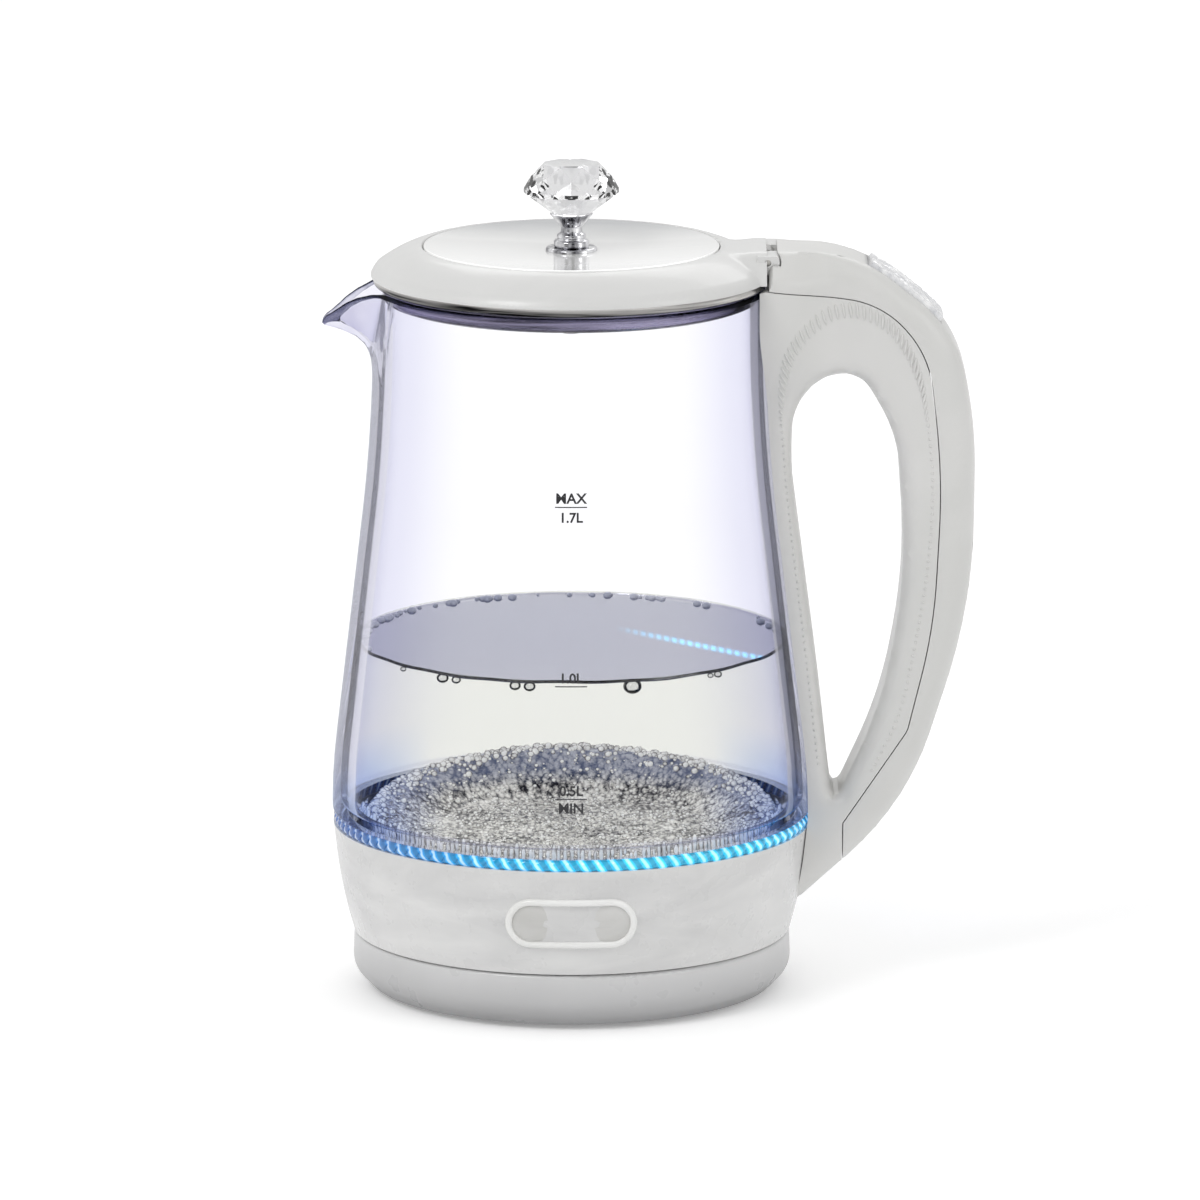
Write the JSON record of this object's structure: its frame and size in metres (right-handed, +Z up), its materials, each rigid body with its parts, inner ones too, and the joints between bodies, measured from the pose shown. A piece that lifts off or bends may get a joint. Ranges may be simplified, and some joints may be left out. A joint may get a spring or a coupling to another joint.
{
  "type": "electric kettle",
  "caption": "Cordless glass electric kettle with a hinged lid, crystal knob, loop handle with a rocker switch, lit glass foot and a round power base.",
  "frame": {"origin": "on the kettle's axis, on the surface that the rubber foot ring stands on", "axes": "+Z up along the kettle's axis, +X towards the handle, -X towards the spout, -Y towards the badge"},
  "size_m": [0.2036, 0.1496, 0.2601],
  "materials": {
    "base_plastic": "smooth white moulding",
    "under_plastic": "fine moulded texture, light grey",
    "foot_rubber": "matt grey",
    "screw_steel": "plated",
    "terminal_plastic": "off-white",
    "connector_plastic": "black",
    "contact_brass": "plain",
    "body_glass": "clear borosilicate with a faint violet tint in its edges",
    "pearl_plastic": "white with a soft pearl mottling",
    "plate_steel": "pressed stainless",
    "seal_silicone": "translucent silicone",
    "diffuser_aluminium": "plain",
    "board_laminate": "white solder mask",
    "chip_plastic": "lit blue",
    "light_guide": "clear light guide, lit cyan to blue",
    "badge_rim": "raised glossy rim",
    "badge_plate": "pearl plate",
    "handle_plastic": "warm white satin moulding",
    "wire_insulation": "white sleeving",
    "lid_plastic": "white moulding",
    "disc_plastic": "high gloss",
    "knob_chrome": "polished",
    "crystal": "cut and polished",
    "rocker_plastic": "clear to white, faceted"
  },
  "bodies": {
    "power_base": {"base_shell": "base_plastic", "base_plate": "under_plastic", "foot_ring": "foot_rubber", "base_screws": "screw_steel", "cord_outlet": "under_plastic", "terminal_block": "terminal_plastic"},
    "connector": {"connector_post": "connector_plastic", "post_contacts": "contact_brass"},
    "kettle": {"glass_body": "body_glass", "lower_shell": "pearl_plastic", "bottom_cap": "under_plastic", "cap_screws": "screw_steel", "connector_socket": "connector_plastic", "socket_contacts": "contact_brass", "heating_plate": "plate_steel", "plate_seal": "seal_silicone", "heat_diffuser": "diffuser_aluminium", "heating_element": "diffuser_aluminium", "thermostat_control": "terminal_plastic", "control_screws": "screw_steel", "bimetal_discs": "contact_brass", "plate_carrier": "under_plastic", "led_board": "board_laminate", "led_chips": "chip_plastic", "light_guide": "light_guide", "badge_rim": "badge_rim", "badge_plate": "badge_plate", "handle_frame": "handle_plastic", "handle_cover": "handle_plastic", "handle_screws": "screw_steel", "hinge_bracket": "plate_steel", "hinge_pin": "plate_steel", "switch_pin": "plate_steel", "steam_switch": "terminal_plastic", "steam_bimetal": "contact_brass", "switch_wires": "wire_insulation"},
    "lid": {"lid_shell": "lid_plastic", "lid_disc": "disc_plastic", "lid_liner": "plate_steel", "lid_screws": "screw_steel", "lid_seal": "seal_silicone", "knob_washer": "knob_chrome", "knob_stem": "knob_chrome", "knob_crystal": "crystal", "knob_screw": "screw_steel"},
    "switch": {"switch_rocker": "rocker_plastic"}
  },
  "joints": [
    {"name": "kettle_swivel", "type": "hinge", "parent": "power_base", "child": "connector", "pos_m": [0, 0, 0.017], "axis": [0, 0, 1], "continuous": true},
    {"name": "kettle_lift", "type": "slide", "parent": "connector", "child": "kettle", "axis": [0, 0, 1], "range_m": [0, 0.06]},
    {"name": "lid_hinge", "type": "hinge", "parent": "kettle", "child": "lid", "pos_m": [0.0606, 0, 0.2316], "axis": [0, 1, 0], "range_deg": [0, 75]},
    {"name": "switch_rock", "type": "hinge", "parent": "kettle", "child": "switch", "pos_m": [0.1009, 0, 0.21788], "axis": [0, 1, 0], "range_deg": [0, 7]}
  ]
}
